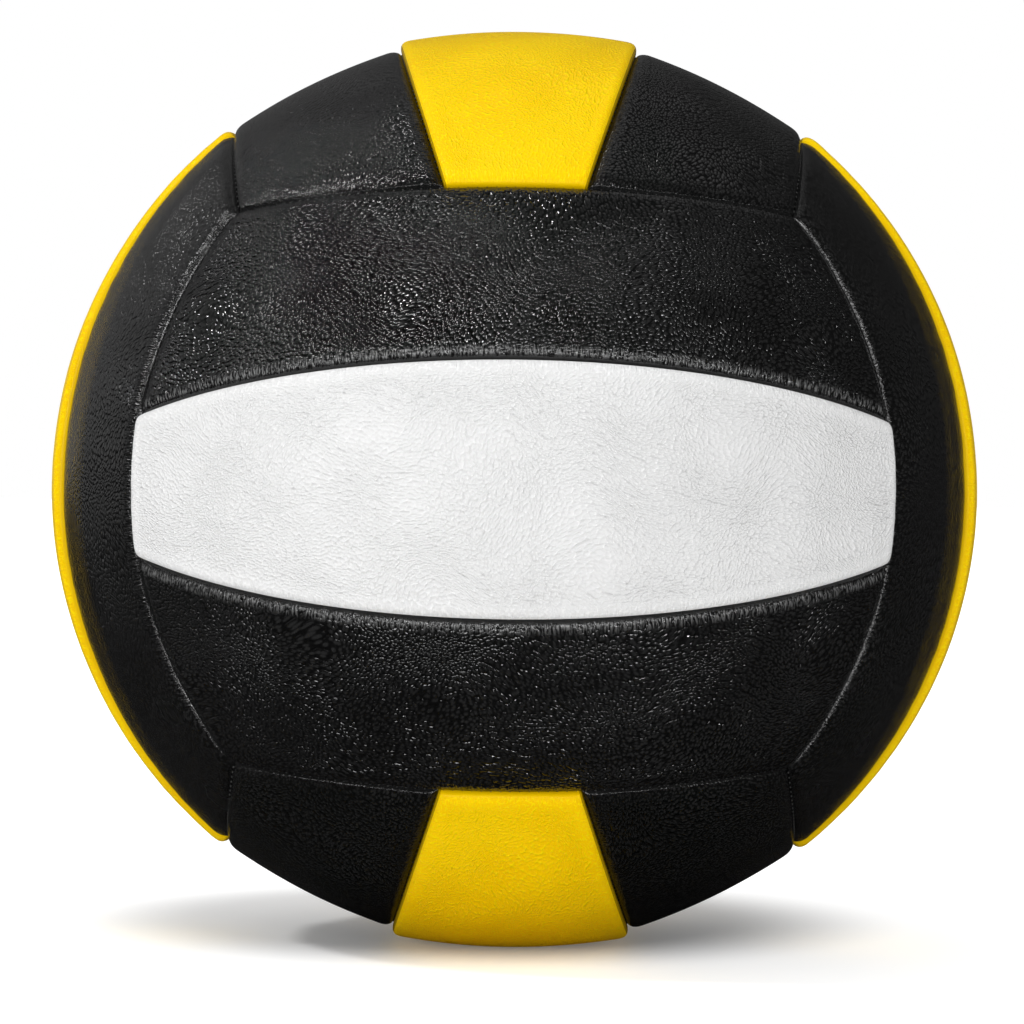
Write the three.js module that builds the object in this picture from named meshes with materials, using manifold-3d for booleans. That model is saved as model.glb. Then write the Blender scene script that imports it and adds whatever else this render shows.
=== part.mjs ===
// A weighted volleyball: eighteen sewn panels over foam, on a thick rubber bladder with its valve.
// The origin is the centre of the ball, +Z is up, the white panels face -Y and +Y, and the valve is at +Y.
import * as THREE from 'three';
import { mergeVertices } from 'three/addons/utils/BufferGeometryUtils.js';
import Module from 'manifold-3d';

const wasm = await Module();
wasm.setup();

// Driving dimensions of the ball, in millimetres
const ballWidth = 210;
const ballHeight = 208.2;
const clearance = 0.3;

// Seam layout, as angles at the centre of the ball, in degrees
const faceEdgeDegrees = 38.35;
const middleEdgeDegrees = 15;
const middleEndDegrees = 8.4;

// Cover: a crowned skin whose edges turn in and are sewn to their neighbours, with foam behind it
const skinThickness = 1.4;
const seamDepth = 2.4;
const seamAllowance = 5;
const middleShoulder = 3.2;
const outerShoulder = 2.2;
const outerPanelDrop = 1.25;
const crossRadius = 147;

// Its own weight presses the ball flat by this much where it lies on the floor
const restDepth = 0.5;

// Bladder
const bladderWall = 1.2;

// Valve, moulded in rubber, with a plug that closes by itself
const valveNeckRadius = 4.3;
const valveFaceDepth = 0.5;
const valveFlangeRadius = 8;
const valveFlangeThickness = 1.5;
const valveTubeLength = 9;
const valveBoreRadius = 2.3;
const valveEdgeRound = 0.5;
const coreHeadRadius = 2.9;
const coreHeadThickness = 1.3;
const coreLipLength = 4;
const coreLipRadius = 0.7;
const needleHoleRadius = 0.8;
const needleHoleDepth = 10;
const needleFunnelRadius = 1.5;

// Rubber patches on the bladder: one stiffens it round the valve, one balances the valve's weight
const valvePatchRadius = 18;
const valvePatchThickness = 1;
const balancePatchRadius = 16;
const balancePatchThickness = 1.7;

// Overrun of a cutting tool past the face that it goes through
const overrun = 3;

// Facets: the outer face of a panel is finer than what it hides
const fineColumns = 12;
const fineRows = { middle: 4, outer: 3 };
const coarseColumns = 8;
const coarseRows = 2;
const roundSides = 18;
const bladderRings = 10;
const patchSteps = 3;

const materials = {
  black: new THREE.MeshStandardMaterial({ color: 0x1a1a1b, roughness: 0.38, metalness: 0 }),
  yellow: new THREE.MeshStandardMaterial({ color: 0xffca08, roughness: 0.5, metalness: 0 }),
  white: new THREE.MeshStandardMaterial({ color: 0xf0f0ee, roughness: 0.5, metalness: 0 }),
  foam: new THREE.MeshStandardMaterial({ color: 0xe6dfc8, roughness: 0.95, metalness: 0 }),
  rubber: new THREE.MeshStandardMaterial({ color: 0x232323, roughness: 0.6, metalness: 0 }),
};

// Radii that follow from the driving dimensions
const ballRadius = ballWidth / 2;
const heightShare = ballHeight / ballWidth;
const seamRadius = ballRadius - seamDepth;
const lipRadius = seamRadius - seamAllowance;
const crossRise = (1 / ballRadius - 1 / crossRadius) / 2;
const edgeInset = clearance / 2;
const lipInset = edgeInset + skinThickness;

function radians(degrees) {
  return THREE.MathUtils.degToRad(degrees);
}

function largerRoot(a, b, c) {
  return (-b + Math.sqrt(b * b - 4 * a * c)) / (2 * a);
}

// A seam is the cut of a plane through the ball, written as across = offset + slope * out. Directions
// from the centre of the ball are { along, across, out }, seen in the face that the strip belongs to.
function seamThrough(first, second) {
  const slope = (second.across - first.across) / (second.out - first.out);
  return { offset: first.across - slope * first.out, slope };
}

function opposite(seam) {
  return { offset: -seam.offset, slope: -seam.slope };
}

function shifted(seam, distance) {
  return { offset: seam.offset + distance / ballRadius * Math.hypot(1, seam.slope), slope: seam.slope };
}

function between(low, high, share) {
  return {
    offset: THREE.MathUtils.lerp(low.offset, high.offset, share),
    slope: THREE.MathUtils.lerp(low.slope, high.slope, share),
  };
}

// The seam round a face runs through the cube's corners and bows in towards the face at its middle
function faceEdgeSeam() {
  const corner = 1 / Math.sqrt(3);
  const angle = radians(faceEdgeDegrees);
  return seamThrough({ across: corner, out: corner }, { across: Math.sin(angle), out: Math.cos(angle) });
}

const faceEdge = faceEdgeSeam();

// How far along its strip a point at this distance across it meets the edge seam of the next face, on
// which out takes the place of across, and along that of out
function endAlong(across) {
  const { offset, slope } = faceEdge;
  return largerRoot(1 + slope * slope, 2 * offset * slope, offset * offset + across * across - 1);
}

function middleEdgeSeam() {
  const middle = radians(middleEdgeDegrees);
  const across = Math.sin(radians(middleEndDegrees));
  const out = faceEdge.offset + faceEdge.slope * endAlong(across);
  return seamThrough({ across, out }, { across: Math.sin(middle), out: Math.cos(middle) });
}

const middleEdge = middleEdgeSeam();

const strips = {
  low: {
    kind: 'outer', low: opposite(faceEdge), high: opposite(middleEdge),
    crown: ballRadius - outerPanelDrop, shoulder: outerShoulder,
  },
  middle: {
    kind: 'middle', low: opposite(middleEdge), high: middleEdge,
    crown: ballRadius, shoulder: middleShoulder,
  },
  high: {
    kind: 'outer', low: middleEdge, high: faceEdge,
    crown: ballRadius - outerPanelDrop, shoulder: outerShoulder,
  },
};

// Stations run from one seam of a panel to the other: first those at each inset, then even steps
function stations(steps, insets) {
  const last = insets.at(-1);
  const start = insets.slice(0, -1).map((inset) => ({ share: -1, inset }));
  const even = Array.from({ length: steps + 1 }, (_, i) => ({ share: 2 * i / steps - 1, inset: last }));
  const end = start.map(({ inset }) => ({ share: 1, inset })).reverse();
  return [...start, ...even, ...end];
}

// The direction of a panel's point at a column station along the strip and a row station across it
function directionAt(strip, column, row) {
  const low = shifted(strip.low, row.inset);
  const high = shifted(strip.high, -row.inset);
  const { offset, slope } = between(low, high, (1 + row.share) / 2);
  const end = shifted(faceEdge, column.inset);
  const lean = 1 + slope * slope;
  const along = largerRoot(
    1 + end.slope * end.slope * lean,
    2 * end.slope * (end.offset * lean + offset * slope),
    end.offset * end.offset * lean + 2 * offset * slope * end.offset + offset * offset - 1,
  );
  const reach = Math.atan2(along, end.offset + end.slope * along);
  const turn = Math.tan(column.share * reach);
  const out = largerRoot(turn * turn + lean, 2 * offset * slope, offset * offset - 1);
  return { along: out * turn, across: offset + slope * out, out };
}

function seamDistance(seam, direction) {
  const gap = direction.across - seam.offset - seam.slope * direction.out;
  return ballRadius * gap / Math.hypot(1, seam.slope);
}

// A strip bends less across its width than the ball does, so its crown rises from its centre line
// towards its long seams
function crownRadius(strip, direction) {
  const offCentre = (seamDistance(strip.low, direction) + seamDistance(strip.high, direction)) / 2;
  return strip.crown + crossRise * offCentre * offCentre;
}

// The share of a shoulder's height at a distance from the panel's edge
function rollShare(distance, shoulder) {
  const left = THREE.MathUtils.clamp(1 - (distance - edgeInset) / shoulder, 0, 1);
  return Math.sqrt(1 - left * left);
}

function outerRadius(strip, direction) {
  const side = Math.min(seamDistance(strip.low, direction), -seamDistance(strip.high, direction));
  const end = seamDistance(faceEdge, { across: direction.out, out: Math.abs(direction.along) });
  const roll = rollShare(side, strip.shoulder) * rollShare(end, strip.shoulder);
  return seamRadius + (crownRadius(strip, direction) - seamRadius) * roll;
}

// Faces of the cover: the strips of a face run along its first axis, and its second axis crosses them
const faces = {
  front: { along: [1, 0, 0], across: [0, 0, 1], strips: ['lower', 'middle', 'upper'], middle: 'white' },
  back: { along: [-1, 0, 0], across: [0, 0, 1], strips: ['lower', 'middle', 'upper'], middle: 'white' },
  top: { along: [0, 1, 0], across: [-1, 0, 0], strips: ['right', 'middle', 'left'], middle: 'yellow' },
  bottom: { along: [0, 1, 0], across: [1, 0, 0], strips: ['left', 'middle', 'right'], middle: 'yellow' },
  right: { along: [0, 0, 1], across: [0, -1, 0], strips: ['back', 'middle', 'front'], middle: 'yellow' },
  left: { along: [0, 0, 1], across: [0, 1, 0], strips: ['front', 'middle', 'back'], middle: 'yellow' },
};

function placed(face, direction, radius) {
  const along = new THREE.Vector3(...face.along);
  const across = new THREE.Vector3(...face.across);
  const out = new THREE.Vector3().crossVectors(along, across);
  const point = new THREE.Vector3();
  point.addScaledVector(along, direction.along * radius);
  point.addScaledVector(across, direction.across * radius);
  point.addScaledVector(out, direction.out * radius);
  point.z *= heightShare;
  return point;
}

// A grid of points on a panel, row by row
function gridOf(face, strip, columns, rows, radiusAt) {
  return rows.map((row) => columns.map((column) => {
    const direction = directionAt(strip, column, row);
    return placed(face, direction, radiusAt(direction, column, row));
  }));
}

// The loop round a grid, anticlockwise from outside. Turn counts the sides passed, from 0 to 4.
function loopOf(grid) {
  const sides = [
    grid[0],
    grid.map((row) => row.at(-1)),
    grid.at(-1).toReversed(),
    grid.map((row) => row[0]).toReversed(),
  ];
  return sides.flatMap((side, index) => {
    const lengths = [0];
    for (let i = 1; i < side.length; i += 1) {
      lengths.push(lengths[i - 1] + side[i].distanceTo(side[i - 1]));
    }
    return side.slice(0, -1).map((point, i) => ({ point, turn: index + lengths[i] / lengths.at(-1) }));
  });
}

function gridTriangles(grid, facesOut) {
  const triangles = [];
  for (let j = 1; j < grid.length; j += 1) {
    for (let i = 1; i < grid[j].length; i += 1) {
      const [a, b, c, d] = [grid[j - 1][i - 1], grid[j - 1][i], grid[j][i], grid[j][i - 1]];
      triangles.push(...(facesOut ? [a, b, c, a, c, d] : [a, c, b, a, d, c]));
    }
  }
  return triangles;
}

// The wall between two loops, which may have different numbers of points
function wallTriangles(upperLoop, lowerLoop) {
  const upper = [...upperLoop, { point: upperLoop[0].point, turn: 4 }];
  const lower = [...lowerLoop, { point: lowerLoop[0].point, turn: 4 }];
  const triangles = [];
  let i = 0;
  let j = 0;
  while (i < upper.length - 1 || j < lower.length - 1) {
    const upperNext = j === lower.length - 1
      || (i < upper.length - 1 && upper[i + 1].turn <= lower[j + 1].turn);
    const third = upperNext ? upper[i + 1] : lower[j + 1];
    triangles.push(upper[i].point, lower[j].point, third.point);
    i += upperNext ? 1 : 0;
    j += upperNext ? 0 : 1;
  }
  return triangles;
}

function closedGeometry(points) {
  const geometry = new THREE.BufferGeometry().setFromPoints(points);
  return mergeVertices(geometry);
}

function undersideInset(strip) {
  return lipInset + strip.shoulder - skinThickness;
}

function fineStations(strip) {
  const halfway = strip.shoulder * (1 - Math.SQRT1_2);
  const insets = [edgeInset, edgeInset + halfway, edgeInset + strip.shoulder];
  return [stations(fineColumns, insets), stations(fineRows[strip.kind], insets)];
}

function coarseStations(strip, firstInset) {
  const insets = [firstInset, undersideInset(strip)];
  return [stations(coarseColumns, insets), stations(coarseRows, insets)];
}

// A skin panel: crowned outer face, rounded shoulders, edges turned in, and its hollow underside
function skinGeometry(face, strip) {
  const outer = gridOf(face, strip, ...fineStations(strip), (direction) => outerRadius(strip, direction));
  const lipOutside = loopOf(gridOf(face, strip, ...coarseStations(strip, edgeInset), () => lipRadius));
  const inside = coarseStations(strip, lipInset);
  const lipInside = loopOf(gridOf(face, strip, ...inside, () => lipRadius));
  const underside = gridOf(face, strip, ...inside, (direction, column, row) => {
    const onLip = column.inset === lipInset || row.inset === lipInset;
    return onLip ? seamRadius : crownRadius(strip, direction) - skinThickness;
  });
  return closedGeometry([
    ...gridTriangles(outer, true),
    ...wallTriangles(loopOf(outer), lipOutside),
    ...wallTriangles(lipOutside, lipInside),
    ...wallTriangles(lipInside, loopOf(underside)),
    ...gridTriangles(underside, false),
  ]);
}

// A foam pad: it fills the space behind a skin panel, between its turned-in edges
function foamGeometry(face, strip) {
  const foamInset = lipInset + clearance;
  const grid = coarseStations(strip, foamInset);
  const top = gridOf(face, strip, ...grid, (direction, column, row) => {
    const onEdge = column.inset === foamInset || row.inset === foamInset;
    return (onEdge ? seamRadius : crownRadius(strip, direction) - skinThickness) - clearance;
  });
  const bottom = gridOf(face, strip, ...grid, () => foamBase);
  return closedGeometry([
    ...gridTriangles(top, true),
    ...wallTriangles(loopOf(top), loopOf(bottom)),
    ...gridTriangles(bottom, false),
  ]);
}

// The straight facets under a panel dip towards the centre. Their lowest point is at this share of the
// radius of their corners, for a lip, which is narrow, and for the width of a pad.
function facetShare(width) {
  const along = endAlong(0);
  const reach = Math.atan2(along, faceEdge.offset + faceEdge.slope * along);
  return Math.cos(Math.hypot(reach / coarseColumns, width / (2 * coarseRows)));
}

const bladderRadius = (lipRadius - clearance) * facetShare(0);
const foamBase = (bladderRadius + clearance) / facetShare(2 * radians(middleEdgeDegrees));

function roundCutter(radius, low, high) {
  const cutter = new THREE.CylinderGeometry(radius, radius, high - low, roundSides);
  return cutter.translate(0, (low + high) / 2, 0);
}

// Points of an arc about the centre of the ball, from one distance off the valve's axis to another
function arcPoints(radius, from, to, steps) {
  const start = Math.asin(from / radius);
  const end = Math.asin(to / radius);
  return Array.from({ length: steps + 1 }, (_, i) => {
    const angle = THREE.MathUtils.lerp(start, end, i / steps);
    return new THREE.Vector2(radius * Math.sin(angle), radius * Math.cos(angle));
  });
}

function revolved(profile) {
  return new THREE.LatheGeometry(profile, roundSides);
}

function bareGeometry(geometry) {
  geometry.deleteAttribute('normal');
  geometry.deleteAttribute('uv');
  return mergeVertices(geometry);
}

function solidOf(geometry) {
  const bare = bareGeometry(geometry.clone());
  return new wasm.Manifold(new wasm.Mesh({
    numProp: 3,
    vertProperties: bare.attributes.position.array,
    triVerts: new Uint32Array(bare.index.array),
  }));
}

function cut(geometry, cutters) {
  const solid = cutters.reduce((rest, cutter) => rest.subtract(solidOf(cutter)), solidOf(geometry));
  const { vertProperties, triVerts } = solid.getMesh();
  const result = new THREE.BufferGeometry();
  result.setAttribute('position', new THREE.BufferAttribute(vertProperties, 3));
  result.setIndex(new THREE.BufferAttribute(triVerts, 1));
  return result;
}

// A round patch that hugs the bladder, solid or with a hole in it
function patchGeometry(holeRadius, outerRadiusOfPatch, thickness) {
  const low = bladderRadius + clearance;
  const under = arcPoints(low, holeRadius, outerRadiusOfPatch, patchSteps);
  const over = arcPoints(low + thickness, outerRadiusOfPatch, holeRadius, patchSteps);
  const profile = [...under, ...over];
  if (holeRadius > 0) {
    profile.push(under[0].clone());
  }
  return revolved(profile).scale(1, 1, heightShare);
}

function patchRecess(patchRadius, thickness) {
  const top = bladderRadius + thickness + 2 * clearance;
  const reach = patchRadius + clearance;
  const floor = Math.sqrt(bladderRadius * bladderRadius - reach * reach) - overrun;
  const profile = [
    new THREE.Vector2(0, floor),
    new THREE.Vector2(reach, floor),
    ...arcPoints(top, reach, 0, patchSteps),
  ];
  return revolved(profile).scale(1, 1, heightShare);
}

const flangeBase = bladderRadius + clearance;
const flangeTop = flangeBase + valveFlangeThickness;
const valveFace = ballRadius - valveFaceDepth;
const tubeEnd = bladderRadius - bladderWall - valveTubeLength;

function valveHole() {
  return roundCutter(valveNeckRadius + clearance, bladderRadius - overrun, ballRadius + overrun);
}

function flangeRecess() {
  return roundCutter(valveFlangeRadius + clearance, bladderRadius - overrun, flangeTop + clearance);
}

// Bladder: a thick shell, open where the valve is moulded in
function bladderGeometry() {
  const inside = bladderRadius - bladderWall;
  const holeRadius = valveNeckRadius + clearance;
  const wall = (radius) => {
    const open = Math.asin(holeRadius / radius);
    return Array.from({ length: bladderRings + 1 }, (_, i) => {
      const angle = THREE.MathUtils.lerp(Math.PI, open, i / bladderRings);
      const distance = i === 0 ? 0 : radius * Math.sin(angle);
      return new THREE.Vector2(distance, radius * Math.cos(angle));
    });
  };
  const profile = [...wall(bladderRadius), ...wall(inside).reverse()];
  return revolved(profile).scale(1, 1, heightShare);
}

function seatProfile() {
  const headRecess = coreHeadRadius + clearance;
  const headFloor = valveFace - coreHeadThickness - 2 * clearance;
  return [
    [valveBoreRadius, tubeEnd],
    [valveNeckRadius, tubeEnd],
    [valveNeckRadius, flangeBase],
    [valveFlangeRadius - valveEdgeRound, flangeBase],
    [valveFlangeRadius, flangeBase + valveEdgeRound],
    [valveFlangeRadius, flangeTop - valveEdgeRound],
    [valveFlangeRadius - valveEdgeRound, flangeTop],
    [valveNeckRadius, flangeTop],
    [valveNeckRadius, valveFace - valveEdgeRound],
    [valveNeckRadius - valveEdgeRound, valveFace],
    [headRecess, valveFace],
    [headRecess, headFloor],
    [valveBoreRadius, headFloor],
    [valveBoreRadius, tubeEnd],
  ].map(([distance, height]) => new THREE.Vector2(distance, height));
}

function coreProfile() {
  const stemRadius = valveBoreRadius - clearance;
  const headTop = valveFace - clearance;
  const headBase = headTop - coreHeadThickness;
  const funnelDepth = needleFunnelRadius - needleHoleRadius;
  return [
    [0, tubeEnd - coreLipLength],
    [coreLipRadius, tubeEnd - coreLipLength],
    [stemRadius, tubeEnd],
    [stemRadius, headBase],
    [coreHeadRadius, headBase],
    [coreHeadRadius, headTop],
    [needleFunnelRadius, headTop],
    [needleHoleRadius, headTop - funnelDepth],
    [needleHoleRadius, headTop - needleHoleDepth],
    [0, headTop - needleHoleDepth],
  ].map(([distance, height]) => new THREE.Vector2(distance, height));
}

function named(name, geometry, material) {
  const mesh = new THREE.Mesh(geometry, materials[material]);
  mesh.name = name;
  return mesh;
}

// What lies below the floor under the resting ball
function floorCutter() {
  const cutter = new THREE.BoxGeometry(ballWidth, ballWidth, ballHeight);
  return cutter.translate(0, 0, restDepth - ballHeight);
}

// What the valve takes out of the cover, what the floor flattens, and the patches' places in the foam
const skinCutters = { back_middle: [valveHole()], bottom_middle: [floorCutter()] };
const foamCutters = {
  back_middle: [valveHole(), flangeRecess(), patchRecess(valvePatchRadius, valvePatchThickness)],
  front_middle: [patchRecess(balancePatchRadius, balancePatchThickness).rotateX(Math.PI)],
};

function coverPanels() {
  const cover = new THREE.Group();
  for (const [faceName, face] of Object.entries(faces)) {
    ['low', 'middle', 'high'].forEach((side, index) => {
      const strip = strips[side];
      const name = `${faceName}_${face.strips[index]}`;
      const colour = side === 'middle' ? face.middle : 'black';
      const skin = cut(skinGeometry(face, strip), skinCutters[name] ?? []);
      const foam = cut(foamGeometry(face, strip), foamCutters[name] ?? []);
      cover.add(named(`${name}_panel`, skin, colour));
      cover.add(named(`${name}_foam`, foam, 'foam'));
    });
  }
  return cover;
}

function bladderWithValve() {
  const flangeHole = valveFlangeRadius + clearance;
  const valvePatch = patchGeometry(flangeHole, valvePatchRadius, valvePatchThickness);
  const balancePatch = patchGeometry(0, balancePatchRadius, balancePatchThickness).rotateX(Math.PI);
  const group = new THREE.Group();
  group.add(named('bladder', bladderGeometry(), 'rubber'));
  group.add(named('valve_seat', revolved(seatProfile()), 'rubber'));
  group.add(named('valve_core', revolved(coreProfile()), 'rubber'));
  group.add(named('valve_patch', valvePatch, 'rubber'));
  group.add(named('balance_patch', balancePatch, 'rubber'));
  return group;
}

const volleyball = new THREE.Group();
volleyball.add(coverPanels(), bladderWithValve());

export default volleyball;
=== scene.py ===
import math
from collections import namedtuple

import bpy
import numpy as np
from mathutils import Matrix, Vector, noise


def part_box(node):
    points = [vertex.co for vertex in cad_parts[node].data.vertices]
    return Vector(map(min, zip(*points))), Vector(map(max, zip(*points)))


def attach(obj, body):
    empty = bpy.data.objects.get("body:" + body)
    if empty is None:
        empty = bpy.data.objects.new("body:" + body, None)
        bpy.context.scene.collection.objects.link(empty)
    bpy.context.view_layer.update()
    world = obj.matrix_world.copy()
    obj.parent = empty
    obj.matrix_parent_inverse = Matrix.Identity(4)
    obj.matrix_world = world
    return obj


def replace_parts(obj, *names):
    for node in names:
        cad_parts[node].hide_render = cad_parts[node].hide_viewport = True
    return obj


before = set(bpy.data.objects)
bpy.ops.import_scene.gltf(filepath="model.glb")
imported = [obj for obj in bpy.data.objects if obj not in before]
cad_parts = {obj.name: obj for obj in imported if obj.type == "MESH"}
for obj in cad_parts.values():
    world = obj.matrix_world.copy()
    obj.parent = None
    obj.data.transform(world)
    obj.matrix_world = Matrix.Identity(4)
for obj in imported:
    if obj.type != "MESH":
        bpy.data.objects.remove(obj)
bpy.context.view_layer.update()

MM = 0.001

Seam = namedtuple("Seam", "offset slope")
Strip = namedtuple("Strip", "kind low high")
Face = namedtuple("Face", "along across names colour folded")
Stations = namedtuple("Stations", "share inset")
Grain = namedtuple("Grain", "pebbles fine side_crease end_crease")
Gaps = namedtuple("Gaps", "side end marked open_share")
Rubber = namedtuple("Rubber", "light dark roughness")
Sun = namedtuple("Sun", "azimuth elevation strength width")

# A leather: the two tones that it varies between, the colour of its grain's lines and the heights
# between which they fade, the size of its grain as a share of the black leather's, the grain's
# depth in millimetres and its gloss. The lines are partly the grain's own colour and partly painted
# light: painted shade in the black's creases, painted highlights on the pale leathers' ridges. Then
# the colours of a painted highlight along a shoulder and of painted shade on a folded edge, if it
# has them, whether its grain is drawn flat beside a seam, and whether its lines are ridges.
Leather = namedtuple(
    "Leather",
    "light dark line line_heights grain_share depth roughness specular rubbed edge eased ridged",
    defaults=(None, None, False, False),
)


def grey(level):
    return level, level, level, 1


# Driving dimensions of the ball, in millimetres
BALL_WIDTH = 210
BALL_HEIGHT = 208.2
CLEARANCE = 0.3
SEAM_GAP = 0.16

# Seam layout, as angles at the centre of the ball, in degrees
FACE_EDGE_DEGREES = 38.35
MIDDLE_EDGE_DEGREES = 15
MIDDLE_END_DEGREES = 8.4

# Cover: skins, the width and fullness of their shoulders, and how far a strip's crown lies inside
# the ball's widest circle. The strips bend less across than along.
SKIN_THICKNESS = 1.4
SEAM_DEPTH = 2.4
SEAM_ALLOWANCE = 5
SHOULDER = {"middle": 3.2, "outer": 3}
SHOULDER_FULLNESS = {"middle": 3.2, "outer": 2}
CROWN_DROP = {"middle": 0, "outer": 1.25}
CROSS_RADIUS = 147
REST_DEPTH = 0.5

# Unevenness of the sewn cover: puckers that run in from the seams, and slow swells. Both fade out
# over the last stretch before a seam.
PUCKER_HEIGHT = 0.16
PUCKER_WIDTH = 3.5
PUCKER_LENGTH = 14
PUCKER_REACH = 5
SWELL_HEIGHT = 0.12
SWELL_WIDTH = 26
LEVEL_EDGE = 1.2

# Stitches. The lean is how far a stitch runs along the seam for each step across it.
STITCH_PITCH = 2
STITCH_HALF_WIDTH = 0.6
STITCH_LEAN_SHARE = 0.35
STITCH_SAG = 0.5
THREAD_RADIUS = 0.17
THREAD_RISE = 0.2

# Bladder, valve and patches
BLADDER_WALL = 1.2
FOAM_THICKNESS = 3.4
VALVE_NECK_RADIUS = 4.3
VALVE_FACE_DEPTH = 0.5
VALVE_FLANGE_RADIUS = 8
VALVE_FLANGE_THICKNESS = 1.5
VALVE_TUBE_LENGTH = 9
VALVE_BORE_RADIUS = 2.3
VALVE_EDGE_ROUND = 0.5
VALVE_DIMPLE_DEPTH = 0.25
VALVE_DIMPLE_RADIUS = 9
CORE_HEAD_RADIUS = 2.9
CORE_HEAD_THICKNESS = 1.3
CORE_LIP_LENGTH = 4
CORE_LIP_RADIUS = 0.7
NEEDLE_HOLE_RADIUS = 0.8
NEEDLE_HOLE_DEPTH = 10
NEEDLE_FUNNEL_RADIUS = 1.5
VALVE_PATCH_RADIUS = 18
VALVE_PATCH_THICKNESS = 1
BALANCE_PATCH_RADIUS = 16
BALANCE_PATCH_THICKNESS = 1.7
OVERRUN = 3

# Mesh steps
FINE_COLUMNS = 140
FINE_ROWS = {"middle": 52, "outer": 42}
COARSE_COLUMNS = 32
COARSE_ROWS = 12
ROLL_STEPS = 9
SEAM_SAMPLES = 1260
ROUND_SIDES = 96
BLADDER_RINGS = 48
PATCH_STEPS = 8
THREAD_SIDES = 6
THREAD_STEPS = 6
SHARP_DEGREES = 40

# A distance past every mark on a panel, and the least number to divide by
FAR = 100
TINY = 1e-9

# Leather grain, in millimetres: long pebbles that bend and sway over the panel, and a finer grain
GRAIN_LENGTH = 1.05
GRAIN_WIDTH = 0.8
GRAIN_LEAN_DEGREES = 25
GRAIN_SCATTER_SHARE = 0.85
GRAIN_SOFTNESS_SHARE = 0.05
GRAIN_BEND = 0.8
GRAIN_BEND_WIDTH = 3.2
GRAIN_SWAY = 14
GRAIN_SWAY_WIDTH = 30
FINE_GRAIN_WIDTH = 0.35
FINE_GRAIN_DETAIL = 3
FINE_GRAIN_SHARE = 0.03

# Leather beside its seams, in millimetres off the seam: a smooth edge, creases that run across the
# seam, a painted highlight streaked pale along the shoulder, and grain that is drawn flat
SMOOTH_EDGE = (0.1, 0.7)
CREASE_WIDTH = 0.45
CREASE_LENGTH = 2
CREASE_REACH = (1, 4.5)
CREASE_SHARE = 0.85
HIGHLIGHT_FROM = (0.8, 1.5)
HIGHLIGHT_TO = (1.6, 3.8)
HIGHLIGHT_STREAK_SHARES = (0.42, 0.7)
HIGHLIGHT_SHARE = 0.7
EASED_REACH = (8, 22)
EASED_SHARE = 0.15

# Painted shade on a skin's folded edge, in millimetres off the seam, with a fine dark line along it
EDGE_SHADE_STRIP = (0.4, 0.5)
EDGE_RAGGED = 0.15
EDGE_LINE = 0.56
EDGE_LINE_WIDTH = (0.04, 0.14)
EDGE_LINE_SHARE = 0.8
EDGE_LINE_COLOUR = (0.13, 0.08, 0, 1)

# Slow changes of a leather's tone and gloss
PATCH_WIDTH = 22
PATCH_DETAIL = 3
PATCH_TONE_SHARES = (0.3, 0.7)
PATCH_GLOSS_SHARES = (0.2, 0.8)
LEATHER_SPREAD = 0.03

BLACK = Leather(
    light=grey(0.016),
    dark=grey(0.011),
    # Dark lines: painted shade in the creases, partly the grain's own colour
    line=grey(0.002),
    line_heights=(0.82, 0.97),
    grain_share=1,
    depth=0.4,
    roughness=0.18,
    specular=0.9,
    # A painted highlight streaked along the shoulder beside the white panel
    rubbed=grey(0.2),
)
SIDE_BLACK = BLACK._replace(rubbed=None, eased=True, roughness=0.25)
YELLOW = Leather(
    light=(1, 0.65, 0, 1),
    dark=(0.97, 0.6, 0, 1),
    # Light lines: painted highlights on the ridges, partly the grain's own colour
    line=(1, 0.72, 0, 1),
    line_heights=(0.62, 0.78),
    grain_share=0.82,
    depth=0.28,
    roughness=0.3,
    specular=0.08,
    # Painted shade on the folded edge, whose turned side lies in shade
    edge=(0.42, 0.26, 0, 1),
    ridged=True,
)
WHITE = Leather(
    light=grey(0.805),
    dark=grey(0.78),
    # Light lines: painted highlights on the ridges, partly the grain's own colour
    line=grey(0.885),
    line_heights=(0.63, 0.8),
    grain_share=0.82,
    depth=0.42,
    roughness=0.4,
    specular=0.2,
    ridged=True,
)

# Foam, rubber and thread, in millimetres
FOAM_CELL = 0.5
FOAM_LIGHT = (0.84, 0.79, 0.63, 1)
FOAM_DARK = (0.7, 0.64, 0.47, 1)
FOAM_ROUGHNESS = 0.95
RUBBER_MOTTLE = 4
RUBBER_MOTTLE_DETAIL = 4
RUBBER_GRAIN = 0.4
RUBBER_GRAIN_DEPTH = 0.04
RUBBER_GLOSS_SHARES = (0.3, 0.7)
RUBBER_SPREAD = 0.08
BLADDER_RUBBER = Rubber(light=(0.03, 0.029, 0.028, 1), dark=grey(0.014), roughness=0.55)
VALVE_RUBBER = Rubber(light=grey(0.034), dark=grey(0.018), roughness=0.5)
THREAD_MOTTLE = 0.6
THREAD_MOTTLE_DETAIL = 3
THREAD_LIGHT = (0.09, 0.09, 0.088, 1)
THREAD_DARK = grey(0.02)
THREAD_ROUGHNESS = 0.4
THREAD_TWIST_SHARE = 0.25

# Camera: the ball's outline in the picture, in pixels, and how far off it is in radii of the ball
PICTURE_WIDTH = 1024
OUTLINE_RADIUS = 461.5
OUTLINE_CENTRE = (514.6, 489.6)
CAMERA_RADII = 9
CAMERA_AZIMUTH_DEGREES = 0.25
CAMERA_ROLL_DEGREES = 0.55
SENSOR_WIDTH = 36
VIEW_REACH = 100

# Floor, in metres. Its glow, which only the camera sees, grows away from the ball's shade.
FLOOR_WIDTH = 60
FLOOR_MOTTLE = 0.4
FLOOR_LIGHT = grey(0.93)
FLOOR_DARK = grey(0.91)
FLOOR_MIRRORED = grey(0.03)
FLOOR_GLOW = (0.1, 0.6)
SHADE_CENTRE = (-0.012, 0.05, 0)
SHADE_REACH = (0.06, 0.11)

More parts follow.
